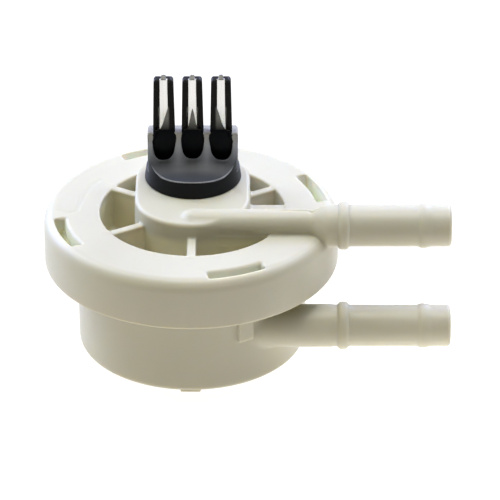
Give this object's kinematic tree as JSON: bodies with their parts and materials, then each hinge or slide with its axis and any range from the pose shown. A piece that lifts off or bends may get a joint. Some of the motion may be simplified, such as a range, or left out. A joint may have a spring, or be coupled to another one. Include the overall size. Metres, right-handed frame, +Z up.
{
  "type": "turbine flow meter",
  "caption": "Round turbine flow meter with a bayonet cap, parallel hose barbs, a spinning magnet wheel inside and a black plug with bright contact blades on top.",
  "frame": {"origin": "on the wheel's axis, in the plane that the cup stands on, at the centre of the pad under the cup", "axes": "+Z up along the wheel's axis, +X along both hose barbs towards their open ends"},
  "size_m": [0.0577, 0.042, 0.0395],
  "materials": {
    "cup_plastic": "moulded off-white",
    "cap_plastic": "moulded off-white",
    "connector_plastic": "moulded black",
    "contact_metal": "bright tinned",
    "seal_rubber": "black",
    "bush": "polished",
    "axle_steel": "ground",
    "wheel_plastic": "moulded",
    "magnet": "sintered",
    "nozzle_plastic": "moulded grey",
    "sensor_plastic": "moulded black",
    "carrier_plastic": "laminate"
  },
  "bodies": {
    "base": {"lower_housing": "cup_plastic", "housing_o_ring": "seal_rubber", "lower_bearing_bush": "bush", "inlet_nozzle": "nozzle_plastic"},
    "cap": {"upper_cap": "cap_plastic", "upper_bearing_bush": "bush", "connector_body": "connector_plastic", "contact_blade_left": "contact_metal", "contact_blade_centre": "contact_metal", "contact_blade_right": "contact_metal", "hall_sensor": "sensor_plastic", "sensor_carrier": "carrier_plastic", "sensor_lead_left": "contact_metal", "sensor_lead_centre": "contact_metal", "sensor_lead_right": "contact_metal"},
    "rotor": {"turbine_wheel": "wheel_plastic", "rotor_axle": "axle_steel", "rotor_magnet_1": "magnet", "rotor_magnet_2": "magnet", "rotor_magnet_3": "magnet", "rotor_magnet_4": "magnet", "magnet_cover": "wheel_plastic"}
  },
  "joints": [
    {"name": "cap_twist", "type": "hinge", "parent": "base", "child": "cap", "pos_m": [0, 0, 0.01345], "axis": [0, 0, 1], "range_deg": [0, 45]},
    {"name": "rotor_spin", "type": "hinge", "parent": "base", "child": "rotor", "pos_m": [0, 0, 0.0083], "axis": [0, 0, 1], "continuous": true}
  ]
}
